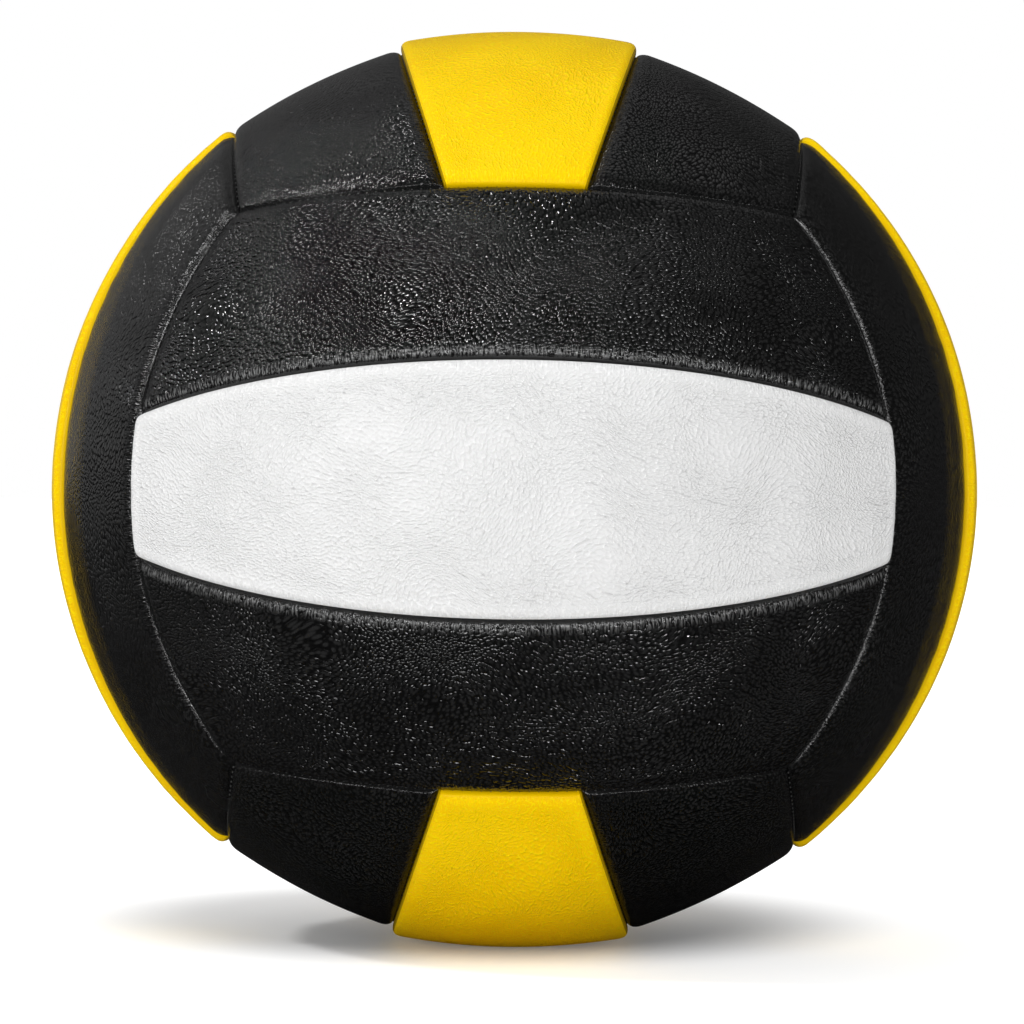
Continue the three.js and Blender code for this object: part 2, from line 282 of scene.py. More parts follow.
# Room: white to the camera, lighter above than below to the ball, and dark with one soft panel in
# its polish
ROOM_SEEN = grey(1)
ROOM_LIGHT = 0.36
ROOM_SLOPE = (-0.04, -0.15, 0.32)
ROOM_MIRRORED = 0.03
PANEL_LIGHT = 0.27
PANEL_SIDE = (-0.75, 0.6, -0.3)
PANEL_FOCUS = 2

# Far soft lamps: the way to them and their width in degrees, and the share of full light that each
# gives a surface that faces it
SUNS = {
    "left": Sun(azimuth=-71, elevation=48, strength=0.28, width=6),
    "right": Sun(azimuth=27, elevation=6, strength=0.15, width=6),
    "front": Sun(azimuth=-20, elevation=3, strength=0.4, width=26),
    "back": Sun(azimuth=180, elevation=68, strength=0.035, width=40),
}

BALL_RADIUS = BALL_WIDTH / 2
HEIGHT_SHARE = BALL_HEIGHT / BALL_WIDTH
FLOOR_LEVEL = REST_DEPTH - BALL_HEIGHT / 2
SEAM_RADIUS = BALL_RADIUS - SEAM_DEPTH
LIP_RADIUS = SEAM_RADIUS - SEAM_ALLOWANCE
CROSS_RISE = (1 / BALL_RADIUS - 1 / CROSS_RADIUS) / 2
EDGE_INSET = SEAM_GAP / 2
LIP_INSET = EDGE_INSET + SKIN_THICKNESS
CUTTER_START = LIP_RADIUS - SEAM_ALLOWANCE - OVERRUN
CUTTER_END = BALL_RADIUS + OVERRUN

# Sizes of what lies under the cover, from the bladder outwards
BLADDER_RADIUS = -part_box("bladder")[0].y / MM
FLANGE_BASE = BLADDER_RADIUS + CLEARANCE
FLANGE_TOP = FLANGE_BASE + VALVE_FLANGE_THICKNESS
VALVE_FACE = BALL_RADIUS - VALVE_FACE_DEPTH
VALVE_HOLE_RADIUS = VALVE_NECK_RADIUS + CLEARANCE
TUBE_END = BLADDER_RADIUS - BLADDER_WALL - VALVE_TUBE_LENGTH


def larger_root(a, b, c):
    """The larger solution of a * x ** 2 + b * x + c = 0."""
    return (-b + np.sqrt(b * b - 4 * a * c)) / (2 * a)


# A seam is the cut of a plane through the ball, written as across = offset + slope * out. Directions
# from the ball's centre are (along, across, out), seen in the face that the strip belongs to.
def seam_through(first, second):
    slope = (second[0] - first[0]) / (second[1] - first[1])
    return Seam(first[0] - slope * first[1], slope)


def opposite(seam):
    return Seam(-seam.offset, -seam.slope)


def shifted(seam, distance):
    return Seam(seam.offset + distance / BALL_RADIUS * np.hypot(1, seam.slope), seam.slope)


def between(low, high, share=0.5):
    offset = low.offset + (high.offset - low.offset) * share
    return Seam(offset, low.slope + (high.slope - low.slope) * share)


def face_edge_seam():
    """The seam round a face runs through the cube's corners and bows in towards the face."""
    corner = 1 / math.sqrt(3)
    angle = math.radians(FACE_EDGE_DEGREES)
    return seam_through((corner, corner), (math.sin(angle), math.cos(angle)))


FACE_EDGE = face_edge_seam()


def middle_edge_seam():
    """The seam beside a middle strip, which is narrower at its ends than half way along."""
    across = math.sin(math.radians(MIDDLE_END_DEGREES))
    offset, slope = FACE_EDGE
    end = larger_root(1 + slope ** 2, 2 * offset * slope, offset ** 2 + across ** 2 - 1)
    angle = math.radians(MIDDLE_EDGE_DEGREES)
    return seam_through((across, offset + slope * end), (math.sin(angle), math.cos(angle)))


MIDDLE_EDGE = middle_edge_seam()

STRIPS = [
    Strip("outer", opposite(FACE_EDGE), opposite(MIDDLE_EDGE)),
    Strip("middle", opposite(MIDDLE_EDGE), MIDDLE_EDGE),
    Strip("outer", MIDDLE_EDGE, FACE_EDGE),
]

FACES = {
    "front": Face((1, 0, 0), (0, 0, 1), ["lower", "middle", "upper"], "white", False),
    "back": Face((-1, 0, 0), (0, 0, 1), ["lower", "middle", "upper"], "white", False),
    "top": Face((0, 1, 0), (-1, 0, 0), ["right", "middle", "left"], "yellow", True),
    "bottom": Face((0, 1, 0), (1, 0, 0), ["left", "middle", "right"], "yellow", True),
    "right": Face((0, 0, 1), (0, -1, 0), ["back", "middle", "front"], "yellow", False),
    "left": Face((0, 0, 1), (0, 1, 0), ["front", "middle", "back"], "yellow", False),
}


def stations(steps, insets):
    """From one seam of a panel to the other: each inset, then even steps, then the insets back."""
    start = list(insets[:-1])
    share = [-1.0] * len(start) + list(np.linspace(-1, 1, steps + 1)) + [1.0] * len(start)
    inset = start + [insets[-1]] * (steps + 1) + start[::-1]
    return Stations(np.array(share), np.array(inset))


def directions(strip, columns, rows):
    """The unit vectors of a grid of points on a strip, row by row."""
    low = shifted(strip.low, rows.inset[:, None])
    high = shifted(strip.high, -rows.inset[:, None])
    offset, slope = between(low, high, (1 + rows.share[:, None]) / 2)
    end = shifted(FACE_EDGE, columns.inset[None, :])
    lean = 1 + slope ** 2
    along = larger_root(
        1 + end.slope ** 2 * lean,
        2 * end.slope * (end.offset * lean + offset * slope),
        end.offset ** 2 * lean + 2 * offset * slope * end.offset + offset ** 2 - 1,
    )
    reach = np.arctan2(along, end.offset + end.slope * along)
    turn = np.tan(columns.share[None, :] * reach)
    out = larger_root(turn ** 2 + lean, 2 * offset * slope, offset ** 2 - 1)
    return np.stack([out * turn, offset + slope * out, out], axis=-1)


def seam_distance(seam, across, out):
    return BALL_RADIUS * (across - seam.offset - seam.slope * out) / np.hypot(1, seam.slope)


def side_distances(strip, direction):
    across, out = direction[..., 1], direction[..., 2]
    return seam_distance(strip.low, across, out), -seam_distance(strip.high, across, out)


def end_distance(direction):
    return seam_distance(FACE_EDGE, direction[..., 2], np.abs(direction[..., 0]))


def crown_radius(strip, direction):
    """A strip bends less across than the ball does, so its crown rises towards its seams."""
    low, high = side_distances(strip, direction)
    return BALL_RADIUS - CROWN_DROP[strip.kind] + CROSS_RISE * ((low - high) / 2) ** 2


def roll_share(distance, kind):
    """How far a shoulder has risen, from 0 at the seam to 1. A fullness of 2 is a round roll."""
    left = np.clip(1 - (distance - EDGE_INSET) / SHOULDER[kind], 0, 1)
    fullness = SHOULDER_FULLNESS[kind]
    return (1 - left ** fullness) ** (1 / fullness)


def outer_radius(strip, direction):
    side = roll_share(np.minimum(*side_distances(strip, direction)), strip.kind)
    roll = side * roll_share(end_distance(direction), strip.kind)
    return SEAM_RADIUS + (crown_radius(strip, direction) - SEAM_RADIUS) * roll


def flat_places(strip, direction):
    """Distances along and across a panel from its middle, as if its skin were laid flat."""
    offset, slope = between(strip.low, strip.high)
    out = larger_root(1 + slope ** 2, 2 * offset * slope, offset ** 2 - 1)
    tilt = math.atan2(offset + slope * out, out)
    along, across, out = np.moveaxis(direction, -1, 0)
    sideways = across * math.cos(tilt) - out * math.sin(tilt)
    angle = np.arccos(np.clip(across * math.sin(tilt) + out * math.cos(tilt), -1, 1))
    spread = BALL_RADIUS * angle / np.maximum(np.sin(angle), TINY)
    return along * spread, sideways * spread


def wave(x, y, seed):
    """Smooth noise, with waves about one unit apart."""
    return np.vectorize(lambda p, q: noise.noise(Vector((p, q, seed))))(x, y)


def unevenness(strip, direction, seed):
    """How far the skin stands above its even form: puckers across the seams, and slow swells."""
    along, across = flat_places(strip, direction)
    side = np.minimum(*side_distances(strip, direction))
    end = end_distance(direction)
    side_pucker = wave(along / PUCKER_WIDTH, across / PUCKER_LENGTH, seed)
    side_pucker *= np.exp(-side / PUCKER_REACH)
    end_pucker = wave(along / PUCKER_LENGTH, across / PUCKER_WIDTH, -seed)
    end_pucker *= np.exp(-end / PUCKER_REACH)
    swell = wave(along / SWELL_WIDTH, across / SWELL_WIDTH, seed / 2)
    fade = np.clip(np.minimum(side, end) / LEVEL_EDGE, 0, 1)
    return fade * (PUCKER_HEIGHT * (side_pucker + end_pucker) + SWELL_HEIGHT * swell)


def valve_dimple(direction):
    """The cover is drawn in a little round the valve."""
    off_axis = BALL_RADIUS * np.hypot(direction[..., 0], direction[..., 1])
    near = np.clip(1 - off_axis / VALVE_DIMPLE_RADIUS, 0, 1) * (direction[..., 2] > 0)
    return VALVE_DIMPLE_DEPTH * near ** 2 * (3 - 2 * near)


def placed(face, direction, radius):
    """Points in the ball's frame, in millimetres."""
    along, across = np.array(face.along), np.array(face.across)
    axes = np.stack([along, across, np.cross(along, across)])
    points = (direction * np.asarray(radius)[..., None]) @ axes
    points[..., 2] *= HEIGHT_SHARE
    return points


class MeshPlan:
    """Points and faces of a mesh that is put together from grids and walls."""

    def __init__(self):
        self.points = []
        self.faces = []
        self.flat = []
        self.gaps = []

    def add(self, points, flat=None, gaps=None):
        """Adds an array of points and gives back their numbers in the same shape."""
        first = len(self.points)
        shape = points.shape[:-1]
        rows = points.reshape(-1, 3)
        blank = np.zeros_like(rows)
        self.points.extend(rows.tolist())
        self.flat.extend((blank if flat is None else flat.reshape(-1, 3)).tolist())
        self.gaps.extend((blank if gaps is None else gaps.reshape(-1, 3)).tolist())
        return np.arange(first, len(self.points)).reshape(shape)

    def cover_grid(self, grid, faces_out=True):
        quads = np.stack([grid[:-1, :-1], grid[:-1, 1:], grid[1:, 1:], grid[1:, :-1]], axis=-1)
        quads = quads.reshape(-1, 4)
        self.faces.extend((quads if faces_out else quads[:, ::-1]).tolist())

    def loop(self, grid):
        """The numbers of the points round a grid, with how many of its sides lie before each."""
        sides = [grid[0], grid[:, -1], grid[-1][::-1], grid[:, 0][::-1]]
        numbers, turns = [], []
        for index, side in enumerate(sides):
            points = np.array([self.points[i] for i in side])
            steps = np.linalg.norm(np.diff(points, axis=0), axis=1)
            lengths = np.concatenate([[0], np.cumsum(steps)])
            numbers.extend(int(i) for i in side[:-1])
            turns.extend(index + lengths[:-1] / lengths[-1])
        return numbers + numbers[:1], turns + [len(sides)]

    def wall(self, upper, lower):
        """Triangles between two loops, which may have different numbers of points."""
        (above, above_turns), (below, below_turns) = upper, lower
        i = j = 0
        while i < len(above) - 1 or j < len(below) - 1:
            next_above = above_turns[i + 1] if i < len(above) - 1 else math.inf
            next_below = below_turns[j + 1] if j < len(below) - 1 else math.inf
            take_above = next_above <= next_below
            third = above[i + 1] if take_above else below[j + 1]
            self.faces.append([above[i], below[j], third])
            i += take_above
            j += not take_above

    def mesh(self, name):
        made = bpy.data.meshes.new(name)
        made.from_pydata((np.array(self.points) * MM).tolist(), [], self.faces)
        for key, values in (("flat", self.flat), ("gaps", self.gaps)):
            attribute = made.attributes.new(key, "FLOAT_VECTOR", "POINT")
            attribute.data.foreach_set("vector", np.array(values).ravel())
        made.validate()
        return made


def new_object(name, data):
    made = bpy.data.objects.new(name, data)
    bpy.context.scene.collection.objects.link(made)
    return made


def shade_smooth(mesh):
    mesh.polygons.foreach_set("use_smooth", [True] * len(mesh.polygons))
    mesh.set_sharp_from_angle(angle=math.radians(SHARP_DEGREES))
    mesh.update()


def piece(name, mesh, material):
    """A piece of the ball, on its one body."""
    shade_smooth(mesh)
    mesh.materials.clear()
    mesh.materials.append(material)
    made = new_object(name, mesh)
    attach(made, "root")
    return made


def roll_insets(strip):
    """Insets of the rows on a shoulder, at even steps round its roll."""
    angles = np.linspace(0, math.pi / 2, ROLL_STEPS + 1)
    return EDGE_INSET + SHOULDER[strip.kind] * (1 - np.cos(angles))


def coarse_grid(strip, insets):
    return directions(strip, stations(COARSE_COLUMNS, insets), stations(COARSE_ROWS, insets))


def fine_grid(strip):
    insets = roll_insets(strip)
    rows = stations(FINE_ROWS[strip.kind], insets)
    return directions(strip, stations(FINE_COLUMNS, insets), rows)


def level_loop(plan, face, direction):
    """The loop round a grid at the depth of the turned-in edges."""
    radius = np.full(direction.shape[:2], LIP_RADIUS)
    return plan.loop(plan.add(placed(face, direction, radius)))


def rim_of(shape):
    """True on the border of a grid."""
    rim = np.ones(shape, bool)
    rim[1:-1, 1:-1] = False
    return rim


def stacked(first, second, third):
    return np.stack(np.broadcast_arrays(first, second, third), axis=-1)


def marked_distance(face, strip, low, high):
    """Distance to a folded edge, or on an outer strip to the seam beside the middle one."""
    if strip.kind == "middle":
        return np.minimum(low, high) if face.folded else FAR
    if face.folded:
        return FAR
    return high if strip is STRIPS[0] else low


def skin_plan(face, strip, seed, dimple=None):
    """A skin panel: crowned outer face with rolled shoulders, turned-in edges, and its underside."""
    plan = MeshPlan()
    direction = fine_grid(strip)
    radius = outer_radius(strip, direction) + unevenness(strip, direction, seed)
    if dimple:
        radius = radius - dimple(direction)
    along, across = flat_places(strip, direction)
    flat = stacked(along + seed * BALL_WIDTH, across, seed)
    low, high = side_distances(strip, direction)
    marked = marked_distance(face, strip, low, high)
    gaps = stacked(np.minimum(low, high), end_distance(direction), marked)
    outer = plan.add(placed(face, direction, radius), flat, gaps)
    plan.cover_grid(outer)

    at_edge = coarse_grid(strip, [EDGE_INSET, LIP_INSET + SHOULDER[strip.kind]])
    lip_outside = level_loop(plan, face, at_edge)
    behind = coarse_grid(strip, [LIP_INSET, LIP_INSET + SHOULDER[strip.kind] - SKIN_THICKNESS])
    lip_inside = level_loop(plan, face, behind)
    crown = crown_radius(strip, behind) - SKIN_THICKNESS
    under = np.where(rim_of(behind.shape[:2]), SEAM_RADIUS, crown)
    underside = plan.add(placed(face, behind, under))
    plan.wall(plan.loop(outer), lip_outside)
    plan.wall(lip_outside, lip_inside)
    plan.wall(lip_inside, plan.loop(underside))
    plan.cover_grid(underside, faces_out=False)
    return plan


def foam_plan(face, strip):
    """A foam pad between the turned-in edges of its panel."""
    plan = MeshPlan()
    inset = LIP_INSET + CLEARANCE
    direction = coarse_grid(strip, [inset, inset + SHOULDER[strip.kind]])
    crown = crown_radius(strip, direction) - SKIN_THICKNESS
    over = np.where(rim_of(direction.shape[:2]), SEAM_RADIUS, crown) - CLEARANCE
    top = plan.add(placed(face, direction, over))
    under = np.full(over.shape, SEAM_RADIUS - CLEARANCE - FOAM_THICKNESS)
    bottom = plan.add(placed(face, direction, under))
    plan.cover_grid(top)
    plan.wall(plan.loop(top), plan.loop(bottom))
    plan.cover_grid(bottom, faces_out=False)
    return plan


def rest_on_floor(mesh):
    """The ball's weight presses its lowest spot flat."""
    for vertex in mesh.vertices:
        vertex.co.z = max(vertex.co.z, FLOOR_LEVEL * MM)


def cut_with(mesh, cutter_mesh):
    """What is left of a mesh outside of another."""
    target = new_object("target", mesh)
    cutter = new_object("cutter", cutter_mesh)
    modifier = target.modifiers.new("cut", "BOOLEAN")
    modifier.object = cutter
    modifier.operation = "DIFFERENCE"
    modifier.solver = "EXACT"
    bpy.context.view_layer.update()
    graph = bpy.context.evaluated_depsgraph_get()
    result = bpy.data.meshes.new_from_object(target.evaluated_get(graph), depsgraph=graph)
    bpy.data.objects.remove(target)
    bpy.data.objects.remove(cutter)
    return result


def lathe(name, profile):
    """A mesh turned round the valve's axis, +Y, from (distance off the axis, height) points.

    The points run anticlockwise round the solid's section, so that the faces look outward.
    """
    plan = MeshPlan()
    angles = np.linspace(0, 2 * math.pi, ROUND_SIDES, endpoint=False)
    rings = []
    for distance, height in profile:
        if distance == 0:
            tip = plan.add(np.array([[0.0, height, 0.0]]))[0]
            rings.append(np.full(ROUND_SIDES, tip))
        else:
            ring = stacked(distance * np.cos(angles), height, distance * np.sin(angles))
            rings.append(plan.add(ring))
    for first, second in zip(rings, rings[1:]):
        for i in range(ROUND_SIDES):
            j = (i + 1) % ROUND_SIDES
            corners = [first[i], second[i], second[j], first[j]]
            plan.faces.append(list(dict.fromkeys(int(c) for c in corners)))
    return plan.mesh(name)


def arc(radius, start, end, steps):
    """Points of an arc about the ball's centre, between two distances off the valve's axis."""
    angles = np.linspace(math.asin(start / radius), math.asin(end / radius), steps + 1)
    return [(radius * math.sin(a) if a else 0, radius * math.cos(a)) for a in angles]


def squeezed(mesh):
    """The mesh flattened in height as the ball is."""
    mesh.transform(Matrix.Diagonal((1, 1, HEIGHT_SHARE, 1)))
    return mesh


def valve_cutter():
    """The hole that the valve needs in its skin panel."""
    return lathe("cutter", [
        (0, BLADDER_RADIUS - OVERRUN),
        (VALVE_HOLE_RADIUS, BLADDER_RADIUS - OVERRUN),
        (VALVE_HOLE_RADIUS, CUTTER_END),
        (0, CUTTER_END),
    ])


def patch_arc(radius, thickness):
    """The underside of the foam over a patch on the bladder, from the patch's edge to the axis."""
    return arc(BLADDER_RADIUS + thickness + 2 * CLEARANCE, radius + CLEARANCE, 0, PATCH_STEPS)


def valve_foam_cutter():
    """What the valve's neck and flange and the patch round them take out of the foam."""
    reach = VALVE_PATCH_RADIUS + CLEARANCE
    shelf = [point for point in patch_arc(VALVE_PATCH_RADIUS, VALVE_PATCH_THICKNESS)
             if point[0] > VALVE_FLANGE_RADIUS + CLEARANCE]
    return lathe("cutter", [
        (0, CUTTER_START),
        (reach, CUTTER_START),
        *shelf,
        (VALVE_FLANGE_RADIUS + CLEARANCE, FLANGE_TOP + CLEARANCE),
        (VALVE_HOLE_RADIUS, FLANGE_TOP + CLEARANCE),
        (VALVE_HOLE_RADIUS, CUTTER_END),
        (0, CUTTER_END),
    ])


def rotation(angle, axis):
    return Matrix.Rotation(angle, 4, axis)


def turned_over(mesh):
    """The mesh turned from the back of the ball to its front."""
    mesh.transform(rotation(math.pi, "X"))
    return mesh


def balance_foam_cutter():
    """What the balance patch takes out of the foam in front of it."""
    return turned_over(lathe("cutter", [
        (0, CUTTER_START),
        (BALANCE_PATCH_RADIUS + CLEARANCE, CUTTER_START),
        *patch_arc(BALANCE_PATCH_RADIUS, BALANCE_PATCH_THICKNESS),
    ]))


def leather_of(face, strip):
    """A panel's leather, by its name among the materials, and its colour."""
    if strip.kind == "middle":
        return face.colour, face.colour
    if face.colour == "yellow" and not face.folded:
        return "side_black", "black"
    return "black", "black"


def add_panel(name, face, strip, seed, materials):
    """A skin panel with the foam pad behind it."""
    at_valve = name == "back_middle"
    skin = skin_plan(face, strip, seed, valve_dimple if at_valve else None).mesh(f"{name}_skin")
    foam = foam_plan(face, strip).mesh(f"{name}_pad")
    if at_valve:
        skin = cut_with(skin, valve_cutter())
        foam = cut_with(foam, valve_foam_cutter())
    if name == "front_middle":
        foam = cut_with(foam, balance_foam_cutter())
    if name == "bottom_middle":
        rest_on_floor(skin)
    look, colour = leather_of(face, strip)
    skin_piece = piece(f"{name}_skin", skin, materials[look])
    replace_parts(skin_piece, f"{name}_panel")
    pad = piece(f"{name}_pad", foam, materials["foam"])
    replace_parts(pad, f"{name}_foam")


def add_panels(materials):
    """The eighteen panels, each uneven in its own way."""
    seed = 0
    for face_name, face in FACES.items():
        for place, strip in zip(face.names, STRIPS):
            seed += 1
            add_panel(f"{face_name}_{place}", face, strip, seed, materials)


def places_at(line, lengths, at):
    """Points on a line of points, at some lengths along it."""
    return np.stack([np.interp(at, lengths, line[:, k]) for k in range(3)], axis=-1)


def seam_points(seam):
    """Even points along a seam, with its direction and the way across it at each."""
    fine = Stations(np.linspace(-1, 1, SEAM_SAMPLES), np.zeros(SEAM_SAMPLES))
    line = directions(Strip("outer", seam, seam), fine, Stations(np.zeros(1), np.zeros(1)))[0]
    steps = np.linalg.norm(np.diff(line, axis=0), axis=1)
    lengths = np.concatenate([[0], np.cumsum(steps)]) * SEAM_RADIUS
    count = int((lengths[-1] - STITCH_PITCH) / STITCH_PITCH)
    margin = (lengths[-1] - (count - 1) * STITCH_PITCH) / 2
    at = margin + STITCH_PITCH * np.arange(count)
    middle = places_at(line, lengths, at)
    tangent = places_at(line, lengths, at + STITCH_PITCH / 2) - middle
    tangent /= np.linalg.norm(tangent, axis=1)[:, None]
    return middle, tangent, np.cross(middle, tangent)


def stitch_plan(face, seam):
    """A row of stitches: short bars of thread that cross the seam and dip into both skins."""
    plan = MeshPlan()
    shares = np.linspace(-1, 1, THREAD_STEPS + 1)
    rise = SEAM_RADIUS + THREAD_RISE - STITCH_SAG * shares ** 2
    turns = np.linspace(0, 2 * math.pi, THREAD_SIDES, endpoint=False)
    for middle, tangent, across in zip(*seam_points(seam)):
        bar = across + tangent * STITCH_LEAN_SHARE
        bar /= np.linalg.norm(bar)
        centres = middle * rise[:, None] + bar * (shares * STITCH_HALF_WIDTH)[:, None]
        beside = np.cross(middle, bar)
        spoke = np.cos(turns)[:, None] * beside + np.sin(turns)[:, None] * middle
        rings = centres[:, None, :] + spoke[None, :, :] * THREAD_RADIUS
        radius = np.linalg.norm(rings, axis=-1)
        grid = plan.add(placed(face, rings / radius[..., None], radius))
        plan.cover_grid(np.concatenate([grid, grid[:, :1]], axis=1))
        plan.faces.append([int(i) for i in grid[0]])
        plan.faces.append([int(i) for i in grid[-1][::-1]])
    return plan


def add_stitches(material):
    """Thread in the four seams along each face: its two edges and those of its middle strip."""
    seams = [opposite(FACE_EDGE), opposite(MIDDLE_EDGE), MIDDLE_EDGE, FACE_EDGE]
    for face_name, face in FACES.items():
        low, middle, high = face.names
        names = [f"{low}_edge", f"{low}_{middle}", f"{middle}_{high}", f"{high}_edge"]
        for seam, name in zip(seams, names):
            thread = f"{face_name}_{name}_thread"
            piece(thread, stitch_plan(face, seam).mesh(thread), material)


def bladder_profile():
    """Outer wall from the far end to the valve, then the inner wall back."""
    inside = BLADDER_RADIUS - BLADDER_WALL
    walls = []
    for radius in (BLADDER_RADIUS, inside):
        angles = np.linspace(math.pi, math.asin(VALVE_HOLE_RADIUS / radius), BLADDER_RINGS + 1)
        walls.append([(0 if i == 0 else radius * math.sin(a), radius * math.cos(a))
                      for i, a in enumerate(angles)])
    return walls[0] + walls[1][::-1]


def patch_profile(hole_radius, radius, thickness):
    """A patch glued to the bladder: a ring, or a disc where its hole has no radius."""
    low = BLADDER_RADIUS + CLEARANCE
    under = arc(low, hole_radius, radius, PATCH_STEPS)
    over = arc(low + thickness, radius, hole_radius, PATCH_STEPS)
    return under + over + ([under[0]] if hole_radius else [])


def rounded(corner, before, after, radius):
    """Points round a square corner of a profile."""
    to_before = np.subtract(before, corner) / np.linalg.norm(np.subtract(before, corner))
    to_after = np.subtract(after, corner) / np.linalg.norm(np.subtract(after, corner))
    centre = np.array(corner) + (to_before + to_after) * radius
    angles = np.linspace(0, math.pi / 2, ROLL_STEPS + 1)
    spokes = [to_after * math.cos(a) + to_before * math.sin(a) for a in angles]
    return [tuple(centre - spoke * radius) for spoke in spokes]


def seat_profile():
    """The moulded seat: tube, flange bonded to the bladder, and neck that shows in the cover."""
    recess = CORE_HEAD_RADIUS + CLEARANCE
    recess_floor = VALVE_FACE - CORE_HEAD_THICKNESS - 2 * CLEARANCE
    flange_low = (VALVE_FLANGE_RADIUS, FLANGE_BASE)
    flange_high = (VALVE_FLANGE_RADIUS, FLANGE_TOP)
    neck_base = (VALVE_NECK_RADIUS, FLANGE_BASE)
    neck_foot = (VALVE_NECK_RADIUS, FLANGE_TOP)
    neck_top = (VALVE_NECK_RADIUS, VALVE_FACE)
    recess_top = (recess, VALVE_FACE)
    return [
        (VALVE_BORE_RADIUS, TUBE_END),
        (VALVE_NECK_RADIUS, TUBE_END),
        neck_base,
        *rounded(flange_low, neck_base, flange_high, VALVE_EDGE_ROUND),
        *rounded(flange_high, flange_low, neck_foot, VALVE_EDGE_ROUND),
        neck_foot,
        *rounded(neck_top, neck_foot, recess_top, VALVE_EDGE_ROUND),
        recess_top,
        (recess, recess_floor),
        (VALVE_BORE_RADIUS, recess_floor),
        (VALVE_BORE_RADIUS, TUBE_END),
    ]


def core_profile():
    """The self-closing plug: lips, stem and a head with the funnel of the needle hole."""
    stem = VALVE_BORE_RADIUS - CLEARANCE
    head_top = VALVE_FACE - CLEARANCE
    head_base = head_top - CORE_HEAD_THICKNESS
    funnel_depth = NEEDLE_FUNNEL_RADIUS - NEEDLE_HOLE_RADIUS
    head_low = (CORE_HEAD_RADIUS, head_base)
    head_high = (CORE_HEAD_RADIUS, head_top)
    funnel_top = (NEEDLE_FUNNEL_RADIUS, head_top)
    return [
        (0, TUBE_END - CORE_LIP_LENGTH),
        (CORE_LIP_RADIUS, TUBE_END - CORE_LIP_LENGTH),
        (stem, TUBE_END),
        (stem, head_base),
        head_low,
        *rounded(head_high, head_low, funnel_top, VALVE_EDGE_ROUND),
        funnel_top,
        (NEEDLE_HOLE_RADIUS, head_top - funnel_depth),
        (NEEDLE_HOLE_RADIUS, head_top - NEEDLE_HOLE_DEPTH),
        (0, head_top - NEEDLE_HOLE_DEPTH),
    ]


def add_turned(name, mesh, material, node):
    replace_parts(piece(name, mesh, material), node)


def add_bladder_and_patches(rubber):
    bladder = squeezed(lathe("bladder_wall", bladder_profile()))
    add_turned("bladder_wall", bladder, rubber, "bladder")
    hole = VALVE_FLANGE_RADIUS + CLEARANCE
    ring = lathe("valve_ring", patch_profile(hole, VALVE_PATCH_RADIUS, VALVE_PATCH_THICKNESS))
    add_turned("valve_ring", squeezed(ring), rubber, "valve_patch")
    disc = lathe("balance_disc", patch_profile(0, BALANCE_PATCH_RADIUS, BALANCE_PATCH_THICKNESS))
    disc = turned_over(squeezed(disc))
    add_turned("balance_disc", disc, rubber, "balance_patch")


def add_valve(rubber):
    seat = lathe("valve_body", seat_profile())
    add_turned("valve_body", seat, rubber, "valve_seat")
    core = lathe("valve_plug", core_profile())
    add_turned("valve_plug", core, rubber, "valve_core")


# Sockets of the Mix node for each kind of data: its first input, its second one and its output
MIX_SOCKETS = {"RGBA": (6, 7, 2), "FLOAT": (2, 3, 0)}

# The middle of what a noise gives for each part of its colour
NOISE_MIDDLE = (0.5, 0.5, 0.5)


class Graph:
    """Adds shader nodes to a tree. An input is a socket, which is linked, or a value, which is set."""

    def __init__(self, tree):
        self.tree = tree

    def join(self, socket, value):
        if isinstance(value, bpy.types.NodeSocket):
            self.tree.links.new(value, socket)
        else:
            socket.default_value = value

    def node(self, kind, inputs=None, **settings):
        made = self.tree.nodes.new("ShaderNode" + kind)
        for key, value in settings.items():
            setattr(made, key, value)
        for key, value in (inputs or {}).items():
            self.join(made.inputs[key], value)
        return made

    def math(self, operation, *values):
        return self.node("Math", dict(enumerate(values)), operation=operation).outputs[0]

    def vector(self, operation, *values):
        return self.node("VectorMath", dict(enumerate(values)), operation=operation).outputs[0]

    def scaled(self, vector, factor):
        return self.vector("MULTIPLY", vector, (factor, factor, factor))

    def dot(self, *values):
        made = self.node("VectorMath", dict(enumerate(values)), operation="DOT_PRODUCT")
        return made.outputs["Value"]

    def length(self, vector):
        return self.node("VectorMath", {0: vector}, operation="LENGTH").outputs["Value"]

    def attribute(self, name):
        return self.node("Attribute", attribute_name=name).outputs["Vector"]

    def separate(self, vector):
        return self.node("SeparateXYZ", {"Vector": vector}).outputs

    def place(self):
        """Places on the object, in metres."""
        return self.node("TexCoord").outputs["Object"]

    def step(self, value, low, high, start=0.0, end=1.0):
        """A smooth change from start to end as the value goes from low to high."""
        inputs = {"Value": value, "From Min": low, "From Max": high, "To Min": start, "To Max": end}
        return self.node("MapRange", inputs, interpolation_type="SMOOTHSTEP").outputs[0]

    def around(self, value, reach, middle, spread):
        """A number that changes about its middle as the value goes through its reach."""
        return self.step(value, *reach, middle - spread, middle + spread)

    def mixed(self, kind, share, first, second):
        low, high, out = MIX_SOCKETS[kind]
        return self.node("Mix", {0: share, low: first, high: second}, data_type=kind).outputs[out]

    def mix(self, share, first, second):
        """A mix of two colours."""
        return self.mixed("RGBA", share, first, second)

    def blend(self, share, first, second):
        """A mix of two numbers."""
        return self.mixed("FLOAT", share, first, second)

    def noise(self, vector, detail=2.0):
        """Noise over the flat places of a panel."""
        inputs = {"Vector": vector, "Scale": 1.0, "Detail": detail}
        return self.node("TexNoise", inputs, noise_dimensions="2D").outputs[0]

    def solid_noise(self, vector, scale, detail=2.0):
        inputs = {"Vector": vector, "Scale": scale, "Detail": detail}
        return self.node("TexNoise", inputs).outputs[0]


